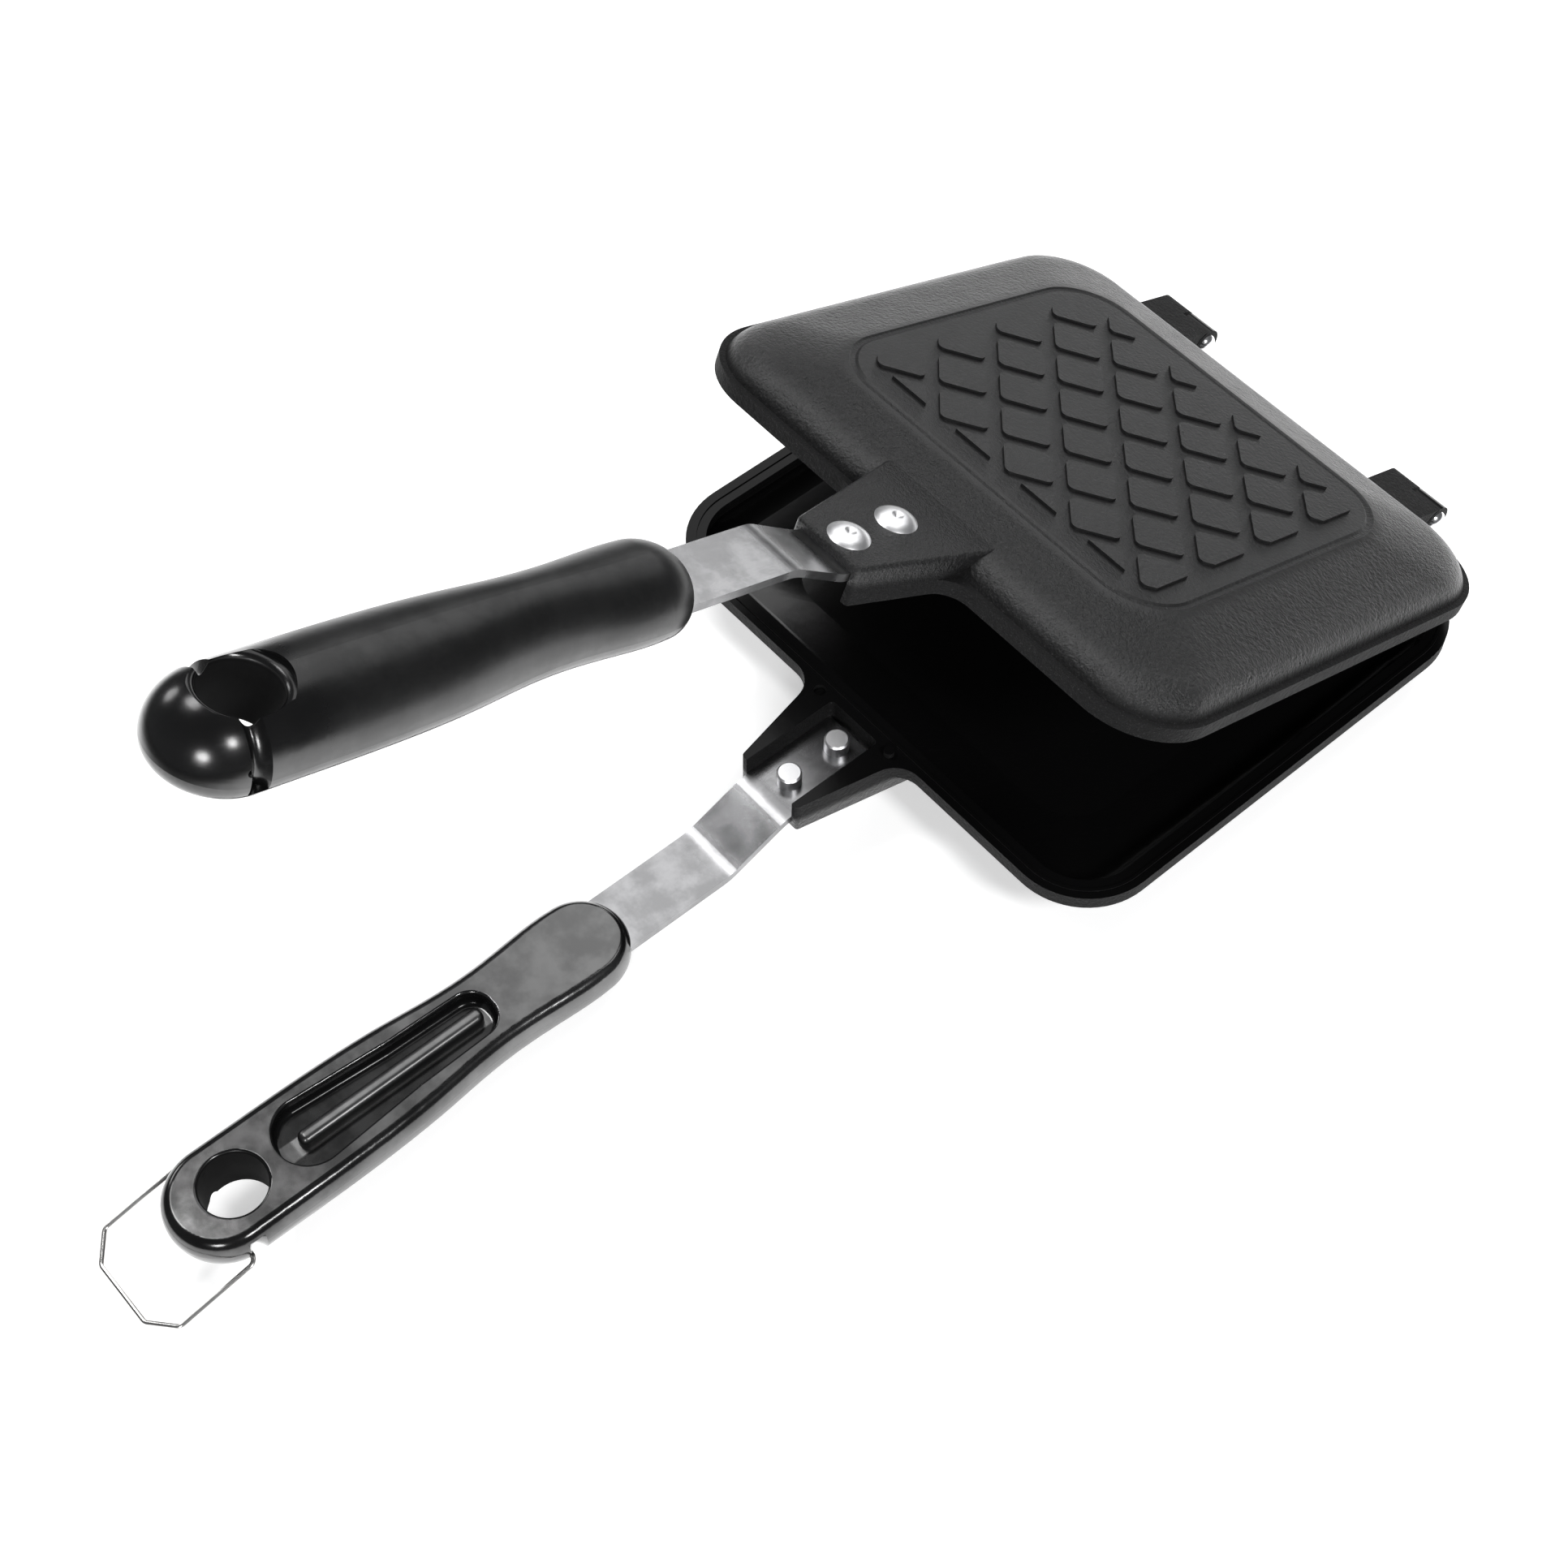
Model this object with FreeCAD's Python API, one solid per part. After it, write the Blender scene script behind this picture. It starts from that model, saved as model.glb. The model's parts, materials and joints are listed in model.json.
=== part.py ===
import FreeCAD, Part
import math
import os

# Pie iron for toasted sandwiches: two identical cast pans on two hinges, each riveted to a
# bent steel strap with a moulded grip, and a wire loop that holds the grips together.
# Every piece is first made in the frame of its own half, in millimetres: X runs along the
# hinge axis, Y from the hinge axis towards the grip, Z outwards from the plane where the halves
# meet. The halves are then turned into place: the lower one lies on the table and the upper one
# stands open.

# The two halves
OPEN_ANGLE = 21.0
CLOSED_CLEARANCE = 0.15
OVERRUN = 5.0

# Pan: flange, domed wall and flat panel
PAN_WIDTH = 145.0
PAN_DEPTH = 130.8
HINGE_OFFSET = 13.6
FLANGE_THICKNESS = 4.2
FLANGE_LAND = 1.5
FLANGE_CORNER_RADIUS = 18.6
WALL_CORNER_RADIUS = 17.2
PANEL_CORNER_RADIUS = 15.0
PANEL_HEIGHT = 13.0
PANEL_SIDE_INSET = 22.2
PANEL_END_INSET = 19.5
WALL_THICKNESS = 2.8
WALL_FOOT_ANGLE = 74.0
WALL_BROW_ANGLE = 14.0
SHOULDER_WIDTH_SHARE = 0.28
SHOULDER_RISE_SHARE = 0.6
SHOULDER_SECTIONS = 6

# Pan: rim on the inside
RIM_WIDTH = 4.8
RIM_STEP = 0.5
RIDGE_WIDTH = 0.7
RIDGE_INSET = 1.8
CAVITY_CORNER_RADIUS = 13.8
CAVITY_FLOOR_RADIUS = 12.5

# Pan: pattern on the panel
BORDER_GROOVE_WIDTH = 1.0
BORDER_GROOVE_DEPTH = 0.4
BORDER_GROOVE_SLOPE = 0.6
PAD_SIDE = 11.2
PAD_GAP = 3.2
PAD_CORNER_RADIUS = 1.7
PAD_RISE = 0.8
PAD_FIELD_SIDE_INSET = 29.2
PAD_FIELD_FRONT_INSET = 27.2
PAD_FIELD_FAR_INSET = 28.0
PAD_ROW_HOLLOW = 0.2
SMALLEST_PAD_SHARE = 0.03

# Hinges
HINGE_SPACING = 76.0
HINGE_LENGTH = 16.4
KNUCKLE_GAP = 0.8
KNUCKLE_RADIUS = 4.1
NOTCH_CLEARANCE = 0.4
PIN_RADIUS = 1.5
PIN_CLEARANCE = 0.05
PIN_HEAD_RADIUS = 2.8
PIN_HEAD_HEIGHT = 1.5
PIN_TAIL_HEIGHT = 0.6
PIN_DIMPLE_RADIUS = 0.9

# Boss: the open channel in front of the pan that holds the strap
BOSS_LENGTH = 26.2
BOSS_HEIGHT = 10.0
BOSS_FRONT_WIDTH = 18.8
BOSS_ROOT_WIDTH = 30.0
BOSS_EDGE_RADIUS = 1.0
BOSS_PLATE = 2.2
BOSS_BACK_WALL = 0.6
WEB_RADIUS = 7.0
CHANNEL_CORNER_RADIUS = 1.2
PEG_SPACING = 23.4
PEG_OFFSET = 0.9
PEG_RADIUS = 1.2
PEG_HEIGHT = 1.0
PEG_CLEARANCE = 0.3

# Rivets
RIVET_FRONT = 20.2
RIVET_REAR = 6.0
RIVET_SHANK_RADIUS = 2.0
RIVET_CLEARANCE = 0.05
RIVET_HEAD_RADIUS = 4.75
RIVET_HEAD_HEIGHT = 1.3
RIVET_DIMPLE_RADIUS = 1.3
RIVET_DIMPLE_DEPTH = 0.6
RIVET_TAIL_RADIUS = 2.9
RIVET_TAIL_HEIGHT = 3.4
RIVET_TAIL_EDGE = 0.4

# Strap
STRAP_WIDTH = 15.2
STRAP_THICKNESS = 2.0
STRAP_SIDE_CLEARANCE = 0.1
STRAP_END_CLEARANCE = 0.6
STRAP_FIRST_BEND = 27.5
STRAP_SECOND_BEND = 43.8
STRAP_STEP = 6.6
STRAP_BEND_RADIUS = 10.0
TANG_LENGTH = 25.0
TANG_CLEARANCE = 0.03

# Grip
GRIP_START = 69.2
GRIP_LENGTH = 116.7
GRIP_NEAR_RADIUS = 11.3
GRIP_FAR_RADIUS = 13.0
GRIP_WAIST_WIDTH = 20.6
GRIP_FACE_HEIGHT = 9.7
GRIP_EDGE_WIDTH = 2.8
GRIP_EDGE_DEPTH = 4.0
GRIP_BACK_RISE = 12.0
GRIP_STATION_SHARES = (0.0, 0.1, 0.28, 0.46, 0.68, 0.85, 1.0)
GRIP_SWELL_SHARES = (0.37, 0.33, 0.0, 0.5, 0.95, 1.0, 1.0)
GRIP_BACK_SHARES = (0.84, 0.86, 0.93, 0.98, 1.0, 1.0, 1.0)

# Grip: hanging hole, groove for the wire and finger recess
HANG_HOLE_RADIUS = 7.3
HANG_HOLE_OFFSET = 2.7
HANG_LIP = 0.7
HANG_BACK_LIP = 1.7
WIRE_GROOVE_OFFSET = 0.3
WIRE_GROOVE_WIDTH = 4.0
WIRE_GROOVE_DEPTH = 2.2
RECESS_START = 35.2
RECESS_LENGTH = 54.7
RECESS_DEPTH = 4.0
RECESS_NEAR_WIDTH = 11.4
RECESS_FAR_RADIUS = 8.0
RECESS_CORNER_RADIUS = 5.2
RIB_WIDTH = 3.7
RIB_START = 2.6
RIB_LENGTH = 47.1
RIB_DROP = 0.5
RIB_TOP_RADIUS = 1.5
RECESS_FLOOR_RADIUS = 1.5
RECESS_RIM_RADIUS = 0.6

# Wire loop
WIRE_RADIUS = 0.6
WIRE_CLEARANCE = 0.1
WIRE_PIVOT_OFFSET = 2.2
WIRE_PIVOT_HEIGHT = 16.5
WIRE_PIVOT_DEPTH = 5.0
WIRE_RAIL_SPACING = 28.2
WIRE_RAIL_LENGTH = 19.6
WIRE_BAR_LENGTH = 16.2
WIRE_LENGTH = 24.6
WIRE_BEND_RADIUS = 1.8
WIRE_DROOP_ANGLE = 12.0

# Places that follow from the sizes
PAN_FAR = HINGE_OFFSET
PAN_FRONT = HINGE_OFFSET + PAN_DEPTH
PAN_MIDDLE = HINGE_OFFSET + PAN_DEPTH / 2
BOSS_FRONT = PAN_FRONT + BOSS_LENGTH
CHANNEL_BACK = PAN_FRONT + BOSS_BACK_WALL
CHANNEL_TOP = BOSS_HEIGHT - BOSS_PLATE
CHANNEL_WIDTH = STRAP_WIDTH + 2 * STRAP_SIDE_CLEARANCE
STRAP_INNER = CHANNEL_TOP - STRAP_THICKNESS
GRIP_NEAR_CENTRE = PAN_FRONT + GRIP_START + GRIP_NEAR_RADIUS
GRIP_FAR_CENTRE = PAN_FRONT + GRIP_START + GRIP_LENGTH - GRIP_FAR_RADIUS
GRIP_WIDEST_HEIGHT = GRIP_FACE_HEIGHT + GRIP_EDGE_DEPTH
TANG_END = PAN_FRONT + GRIP_START + TANG_LENGTH
HANG_HOLE_PLACE = GRIP_FAR_CENTRE - HANG_HOLE_OFFSET
WIRE_PIVOT_PLACE = GRIP_FAR_CENTRE + WIRE_PIVOT_OFFSET
PAD_FIELD_FAR = PAN_FAR + PAD_FIELD_FAR_INSET
PAD_FIELD_FRONT = PAN_FRONT - PAD_FIELD_FRONT_INSET
PAD_HEIGHT = PANEL_HEIGHT + PAD_RISE

V = FreeCAD.Vector
ORIGIN = V(0, 0, 0)
ALONG = V(1, 0, 0)
OUT = V(0, 0, 1)


# Shared shapes

def box(x_low, x_high, y_low, y_high, z_low, z_high):
    """Box between two corners."""
    return Part.makeBox(x_high - x_low, y_high - y_low, z_high - z_low, V(x_low, y_low, z_low))


def bar(radius, x_low, x_high, y, z):
    """Round bar parallel to the hinge axis."""
    return Part.makeCylinder(radius, x_high - x_low, V(x_low, y, z), ALONG)


def post(radius, x, y, z_low, z_high):
    """Round bar that points outwards from the meeting plane."""
    return Part.makeCylinder(radius, z_high - z_low, V(x, y, z_low), OUT)


def rounded_rectangle(half_width, y_low, y_high, radius, z):
    """Closed wire of four lines and four arcs, level at height z."""
    corners = (
        (half_width - radius, y_high - radius, 0),
        (radius - half_width, y_high - radius, 90),
        (radius - half_width, y_low + radius, 180),
        (half_width - radius, y_low + radius, 270),
    )
    arcs = []
    for x, y, start in corners:
        points = []
        for turn in (0, 45, 90):
            angle = math.radians(start + turn)
            points.append(V(x + radius * math.cos(angle), y + radius * math.sin(angle), z))
        arcs.append(Part.Arc(*points).toShape())
    edges = []
    for number, arc in enumerate(arcs):
        following = arcs[(number + 1) % len(arcs)]
        edges.append(arc)
        edges.append(Part.makeLine(arc.Vertexes[-1].Point, following.Vertexes[0].Point))
    return Part.Wire(edges)


def pan_outline(side_inset, end_inset, radius, z):
    """Rounded rectangle set in from the edge of the flange."""
    return rounded_rectangle(
        PAN_WIDTH / 2 - side_inset, PAN_FAR + end_inset, PAN_FRONT - end_inset, radius, z
    )


def slab(wire, thickness):
    """Level wire thickened outwards."""
    return Part.Face(wire).extrude(OUT * thickness)


def turned_profile(edges, start, direction):
    """Solid of revolution of a closed half profile."""
    return Part.Face(Part.Wire(edges)).revolve(start, direction, 360)


def blended(low, high, share):
    """Value part of the way from low to high."""
    return low + (high - low) * share


# Pan

def shoulder_shares(step):
    """How far in and how far up the round shoulder of the wall is at one of its steps."""
    foot = math.radians(WALL_FOOT_ANGLE)
    brow = math.radians(WALL_BROW_ANGLE)
    angle = blended(foot, brow, step / (SHOULDER_SECTIONS - 1))
    inward = (math.sin(foot) - math.sin(angle)) / (math.sin(foot) - math.sin(brow))
    upward = (math.cos(angle) - math.cos(foot)) / (math.cos(brow) - math.cos(foot))
    return inward * SHOULDER_WIDTH_SHARE, upward * SHOULDER_RISE_SHARE


def domed_shell(foot_inset, foot_height, foot_radius, side_inset, end_inset, height, radius):
    """Wall of the pan: a round shoulder above the flange, then a low slope up to the panel."""
    wires = []
    for step in range(SHOULDER_SECTIONS):
        inward, upward = shoulder_shares(step)
        wires.append(pan_outline(
            blended(foot_inset, side_inset, inward),
            blended(foot_inset, end_inset, inward),
            blended(foot_radius, radius, inward),
            blended(foot_height, height, upward),
        ))
    panel_edge = pan_outline(side_inset, end_inset, radius, height)
    slope = Part.makeLoft([wires[-1], panel_edge], True, True)
    return Part.makeLoft(wires, True, False).fuse(slope)


def pan_outside():
    """Flange with the domed wall and the flat panel on it."""
    flange = slab(pan_outline(0, 0, FLANGE_CORNER_RADIUS, 0), FLANGE_THICKNESS)
    dome = domed_shell(
        FLANGE_LAND, FLANGE_THICKNESS, WALL_CORNER_RADIUS,
        PANEL_SIDE_INSET, PANEL_END_INSET, PANEL_HEIGHT, PANEL_CORNER_RADIUS,
    )
    return flange.fuse(dome)


def pan_cavity():
    """Hollow that holds the sandwich: a straight mouth and the inside of the dome."""
    foot = FLANGE_THICKNESS - WALL_THICKNESS * math.cos(math.radians(WALL_FOOT_ANGLE))
    lean = WALL_THICKNESS * math.sin(math.radians(WALL_BROW_ANGLE))
    mouth = slab(
        pan_outline(RIM_WIDTH, RIM_WIDTH, CAVITY_CORNER_RADIUS, -OVERRUN), foot + OVERRUN
    )
    dome = domed_shell(
        RIM_WIDTH, foot, CAVITY_CORNER_RADIUS,
        PANEL_SIDE_INSET + lean, PANEL_END_INSET + lean,
        PANEL_HEIGHT - WALL_THICKNESS, CAVITY_FLOOR_RADIUS,
    )
    return mouth.fuse(dome)


def rim_step():
    """What the rim loses so that only its thin ridge reaches the other half."""
    ridge_end = RIDGE_INSET + RIDGE_WIDTH
    whole = slab(pan_outline(-OVERRUN, -BOSS_LENGTH - OVERRUN, FLANGE_CORNER_RADIUS, -OVERRUN),
                 OVERRUN + RIM_STEP)
    outside = slab(pan_outline(RIDGE_INSET, RIDGE_INSET, FLANGE_CORNER_RADIUS - RIDGE_INSET,
                               CLOSED_CLEARANCE), RIM_STEP)
    inside = slab(pan_outline(ridge_end, ridge_end, FLANGE_CORNER_RADIUS - ridge_end,
                              -OVERRUN), OVERRUN + RIM_STEP + OVERRUN)
    return whole.cut(outside.cut(inside))


def panel_frustum(inset, spread):
    """Flat block under the panel's face, wider at its upper side by the spread."""
    floor = PANEL_HEIGHT - BORDER_GROOVE_DEPTH
    low = pan_outline(PANEL_SIDE_INSET + inset, PANEL_END_INSET + inset,
                      PANEL_CORNER_RADIUS - inset, floor)
    high = pan_outline(PANEL_SIDE_INSET + inset - spread, PANEL_END_INSET + inset - spread,
                       PANEL_CORNER_RADIUS - inset + spread, floor + 2 * BORDER_GROOVE_DEPTH)
    return Part.makeLoft([low, high], True, True)


def border_groove():
    """Fine groove with sloping sides that frames the panel."""
    outer = panel_frustum(0, 2 * BORDER_GROOVE_SLOPE)
    return outer.cut(panel_frustum(BORDER_GROOVE_WIDTH, -2 * BORDER_GROOVE_SLOPE))


def panel_pads():
    """Raised square pads set cornerwise, cut off at the edge of their field.

    The far edge of the field is slightly hollow, so the iron stands on the two outer pads there.
    """
    pitch = PAD_SIDE + PAD_GAP
    half_field_width = PAN_WIDTH / 2 - PAD_FIELD_SIDE_INSET
    reach = math.ceil((half_field_width + PAD_FIELD_FRONT - PAN_MIDDLE) / pitch)
    base = PANEL_HEIGHT - BORDER_GROOVE_DEPTH
    corners = [
        V(half_field_width, PAD_FIELD_FAR, base),
        V(half_field_width, PAD_FIELD_FRONT, base),
        V(-half_field_width, PAD_FIELD_FRONT, base),
        V(-half_field_width, PAD_FIELD_FAR, base),
        V(0, PAD_FIELD_FAR + PAD_ROW_HOLLOW, base),
    ]
    field = slab(Part.makePolygon(corners + corners[:1]), PAD_HEIGHT - base)
    pattern = slab(rounded_rectangle(PAD_SIDE / 2, -PAD_SIDE / 2, PAD_SIDE / 2,
                                     PAD_CORNER_RADIUS, base), PAD_HEIGHT - base)
    pads = []
    for column in range(-reach, reach):
        for row in range(-reach, reach):
            pad = pattern.copy()
            pad.translate(V((column + 1 / 2) * pitch, (row + 1 / 2) * pitch, 0))
            pad.rotate(ORIGIN, OUT, 45)
            pad.translate(V(0, PAN_MIDDLE, 0))
            kept = pad.common(field)
            if kept.Volume > SMALLEST_PAD_SHARE * pattern.Volume:
                pads.append(kept)
    return pads


def hinge_lug(centre):
    """Root along the flange with a knuckle on one side and room for the other half's knuckle."""
    left = centre - HINGE_LENGTH / 2
    right = centre + HINGE_LENGTH / 2
    split = centre + KNUCKLE_GAP / 2
    root = box(left, right, 0, PAN_FAR + FLANGE_LAND, CLOSED_CLEARANCE, KNUCKLE_RADIUS)
    notch = bar(KNUCKLE_RADIUS + NOTCH_CLEARANCE, left - OVERRUN, split, 0, 0)
    knuckle = bar(KNUCKLE_RADIUS, split, right, 0, 0)
    bore = bar(PIN_RADIUS + PIN_CLEARANCE, left - OVERRUN, right + OVERRUN, 0, 0)
    return root.cut(notch).fuse(knuckle).cut(bore)


def boss_half_width(y):
    """Half width of the boss, which widens along a straight line towards the pan."""
    share = (BOSS_FRONT - y) / BOSS_LENGTH
    return blended(BOSS_FRONT_WIDTH / 2, BOSS_ROOT_WIDTH / 2, share)


def boss_block():
    """Tapered block in front of the pan, rounded along its outer edges."""
    back = PAN_FRONT - PANEL_END_INSET * BOSS_HEIGHT / PANEL_HEIGHT
    points = (
        V(-boss_half_width(back), back, 0),
        V(boss_half_width(back), back, 0),
        V(boss_half_width(BOSS_FRONT), BOSS_FRONT, 0),
        V(-boss_half_width(BOSS_FRONT), BOSS_FRONT, 0),
    )
    block = slab(Part.makePolygon(points + (points[0],)), BOSS_HEIGHT)
    rounded = []
    for edge in block.Edges:
        middle = edge.BoundBox.Center
        on_front = edge.BoundBox.YMin > BOSS_FRONT - BOSS_EDGE_RADIUS
        on_outer_side = middle.z > BOSS_HEIGHT - BOSS_EDGE_RADIUS and abs(middle.x) > BOSS_EDGE_RADIUS
        upright = edge.BoundBox.ZLength > BOSS_HEIGHT / 2
        front_top = on_front and middle.z > BOSS_HEIGHT - BOSS_EDGE_RADIUS
        if on_outer_side or front_top or (on_front and upright):
            rounded.append(edge)
    return block.makeFillet(BOSS_EDGE_RADIUS, rounded)


def boss_webs():
    """Concave fillets of flange thickness between the flange's front edge and the boss."""
    slope = (BOSS_ROOT_WIDTH - BOSS_FRONT_WIDTH) / 2 / BOSS_LENGTH
    lean = math.atan(slope)
    centre_y = PAN_FRONT + WEB_RADIUS
    centre_x = boss_half_width(centre_y) + WEB_RADIUS / math.cos(lean)
    touch = V(centre_x - WEB_RADIUS * math.cos(lean), centre_y - WEB_RADIUS * math.sin(lean), 0)
    turn = (math.pi + lean + math.pi * 3 / 2) / 2
    halfway = V(centre_x + WEB_RADIUS * math.cos(turn), centre_y + WEB_RADIUS * math.sin(turn), 0)
    foot = V(centre_x, PAN_FRONT, 0)
    inside = V(centre_x, PAN_FRONT - RIM_WIDTH / 2, 0)
    middle_back = V(0, PAN_FRONT - RIM_WIDTH / 2, 0)
    middle_front = V(0, touch.y, 0)
    edges = [
        Part.makeLine(middle_front, touch),
        Part.Arc(touch, halfway, foot).toShape(),
        Part.makeLine(foot, inside),
        Part.makeLine(inside, middle_back),
        Part.makeLine(middle_back, middle_front),
    ]
    half = slab(Part.Wire(edges), FLANGE_THICKNESS)
    return half.fuse(half.mirror(ORIGIN, ALONG))


def strap_channel():
    """Channel in the boss, open at the front and on the inside, for the strap's end."""
    wire = rounded_rectangle(
        CHANNEL_WIDTH / 2, CHANNEL_BACK, BOSS_FRONT + OVERRUN, CHANNEL_CORNER_RADIUS, -OVERRUN
    )
    return slab(wire, OVERRUN + CHANNEL_TOP)


def pan():
    """One cast half of the iron."""
    shape = pan_outside().fuse([boss_block(), boss_webs()])
    cuts = [pan_cavity(), rim_step(), strap_channel(), border_groove()]
    for place in (RIVET_FRONT, RIVET_REAR):
        cuts.append(post(RIVET_SHANK_RADIUS + RIVET_CLEARANCE, 0, PAN_FRONT + place,
                         -OVERRUN, BOSS_HEIGHT + OVERRUN))
    peg_y = PAN_FRONT + PEG_OFFSET
    cuts.append(post(PEG_RADIUS + PEG_CLEARANCE, -PEG_SPACING / 2, peg_y,
                     -OVERRUN, PEG_HEIGHT + 2 * PEG_CLEARANCE))
    shape = shape.cut(cuts)
    added = [hinge_lug(-HINGE_SPACING / 2), hinge_lug(HINGE_SPACING / 2)]
    added.append(post(PEG_RADIUS, PEG_SPACING / 2, peg_y, -PEG_HEIGHT, FLANGE_THICKNESS / 2))
    added.extend(panel_pads())
    return shape.fuse(added).removeSplitter()


# Rivets and pins

def dome_profile(head_radius, head_height, dimple_radius, dimple_depth, foot):
    """Edges of half a domed head with a dimple, from the axis to the rim of its flat underside."""
    top = foot + head_height
    shoulder = math.cos(math.radians(45))
    centre = V(0, 0, top - dimple_depth)
    lip = V(dimple_radius, 0, top)
    middle = V(head_radius * shoulder, 0, blended(foot, top, shoulder))
    rim = V(head_radius, 0, foot)
    return [Part.makeLine(centre, lip), Part.Arc(lip, middle, rim).toShape()], centre, rim


def rivet():
    """Domed head outside the boss, shank through boss and strap, straight tail inside."""
    edges, top, rim = dome_profile(RIVET_HEAD_RADIUS, RIVET_HEAD_HEIGHT, RIVET_DIMPLE_RADIUS,
                                   RIVET_DIMPLE_DEPTH, BOSS_HEIGHT)
    tail_end = STRAP_INNER - RIVET_TAIL_HEIGHT
    points = [
        rim,
        V(RIVET_SHANK_RADIUS, 0, BOSS_HEIGHT),
        V(RIVET_SHANK_RADIUS, 0, STRAP_INNER),
        V(RIVET_TAIL_RADIUS, 0, STRAP_INNER),
        V(RIVET_TAIL_RADIUS, 0, tail_end + RIVET_TAIL_EDGE),
        V(RIVET_TAIL_RADIUS - RIVET_TAIL_EDGE, 0, tail_end),
        V(0, 0, tail_end),
        top,
    ]
    for start, end in zip(points, points[1:]):
        edges.append(Part.makeLine(start, end))
    return turned_profile(edges, ORIGIN, OUT)


def hinge_pin():
    """Pin through both knuckles of a hinge, centred on the hinge, with its head at the right."""
    edges, top, rim = dome_profile(PIN_HEAD_RADIUS, PIN_HEAD_HEIGHT, PIN_DIMPLE_RADIUS,
                                   PIN_DIMPLE_RADIUS / 2, HINGE_LENGTH / 2)
    end = -HINGE_LENGTH / 2 - PIN_TAIL_HEIGHT
    points = [
        rim,
        V(PIN_RADIUS, 0, HINGE_LENGTH / 2),
        V(PIN_RADIUS, 0, end + PIN_TAIL_HEIGHT),
        V(PIN_RADIUS - PIN_TAIL_HEIGHT / 2, 0, end),
        V(0, 0, end),
        top,
    ]
    for start, finish in zip(points, points[1:]):
        edges.append(Part.makeLine(start, finish))
    pin = turned_profile(edges, ORIGIN, OUT)
    pin.rotate(ORIGIN, V(0, 1, 0), 90)
    return pin


# Strap

def strap_outline(clearance):
    """Side view of the strap as a closed wire with sharp bends."""
    low = STRAP_INNER - clearance
    high = STRAP_INNER + STRAP_THICKNESS + clearance
    start = CHANNEL_BACK + STRAP_END_CLEARANCE
    first = PAN_FRONT + STRAP_FIRST_BEND
    second = PAN_FRONT + STRAP_SECOND_BEND
    end = TANG_END + clearance
    points = [
        V(0, start, low), V(0, first, low), V(0, second, low + STRAP_STEP),
        V(0, end, low + STRAP_STEP), V(0, end, high + STRAP_STEP),
        V(0, second, high + STRAP_STEP), V(0, first, high), V(0, start, high),
    ]
    return Part.makePolygon(points + [points[0]])


def bent_strip(width, clearance):
    """Strip with its two bends rounded."""
    strip = Part.Face(strap_outline(clearance)).extrude(V(width, 0, 0))
    strip.translate(V(-width / 2, 0, 0))
    bends = (PAN_FRONT + STRAP_FIRST_BEND, PAN_FRONT + STRAP_SECOND_BEND)
    rounded = []
    for edge in strip.Edges:
        centre = edge.BoundBox.Center
        across = edge.BoundBox.XLength > width / 2
        if across and min(abs(centre.y - bend) for bend in bends) < STRAP_THICKNESS / 2:
            rounded.append(edge)
    return strip.makeFillet(STRAP_BEND_RADIUS, rounded)


def strap():
    """Bent steel strap from the boss to its end inside the grip."""
    shape = bent_strip(STRAP_WIDTH, 0)
    holes = []
    for place in (RIVET_FRONT, RIVET_REAR):
        holes.append(post(RIVET_SHANK_RADIUS + RIVET_CLEARANCE, 0, PAN_FRONT + place,
                          STRAP_INNER - OVERRUN, BOSS_HEIGHT))
    return shape.cut(holes)


# Grip

def quarter(start, corner, end):
    """Quarter of an ellipse from start to end, tangent to the lines that meet in the corner."""
    curve = Part.BezierCurve()
    curve.setPoles([start, corner, end])
    curve.setWeight(2, math.cos(math.radians(45)))
    return curve.toShape()


def grip_half_edges(half_width, rise, y, side, inset=0):
    """Half of the grip's cross-section, from the middle of its flat face round to its back."""
    face = GRIP_FACE_HEIGHT + inset
    edge = side * (half_width - inset)
    flat = side * (half_width - GRIP_EDGE_WIDTH)
    back = GRIP_WIDEST_HEIGHT + rise - inset
    middle = V(0, y, face)
    flat_end = V(flat, y, face)
    widest = V(edge, y, GRIP_WIDEST_HEIGHT)
    top = V(0, y, back)
    return [
        Part.makeLine(middle, flat_end),
        quarter(flat_end, V(edge, y, face), widest),
        quarter(widest, V(edge, y, back), top),
    ]


def grip_section(half_width, rise, y, inset=0):
    """Whole cross-section of the grip as a closed wire."""
    right = grip_half_edges(half_width, rise, y, 1, inset)
    left = grip_half_edges(half_width, rise, y, -1, inset)
    return Part.Wire(right + left[::-1])


def grip_end(radius, rise, centre, angle):
    """Round end: half of the cross-section turned about an upright axis."""
    edges = grip_half_edges(radius, rise, centre, 1)
    edges.append(Part.makeLine(edges[-1].Vertexes[-1].Point, edges[0].Vertexes[0].Point))
    return Part.Face(Part.Wire(edges)).revolve(V(0, centre, 0), OUT, angle)


def grip_body():
    """Waisted handle with a flat inner face, a full rounded back and round ends."""
    wires = []
    for station, swell, back in zip(GRIP_STATION_SHARES, GRIP_SWELL_SHARES, GRIP_BACK_SHARES):
        half_width = blended(GRIP_WAIST_WIDTH / 2, GRIP_FAR_RADIUS, swell)
        y = blended(GRIP_NEAR_CENTRE, GRIP_FAR_CENTRE, station)
        wires.append(grip_section(half_width, GRIP_BACK_RISE * back, y))
    near_half_width = blended(GRIP_WAIST_WIDTH / 2, GRIP_FAR_RADIUS, GRIP_SWELL_SHARES[0])
    near = grip_end(near_half_width, GRIP_BACK_RISE * GRIP_BACK_SHARES[0], GRIP_NEAR_CENTRE, -180)
    far = grip_end(GRIP_FAR_RADIUS, GRIP_BACK_RISE, GRIP_FAR_CENTRE, 180)
    return Part.makeLoft(wires, True, False).fuse([near, far])


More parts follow.
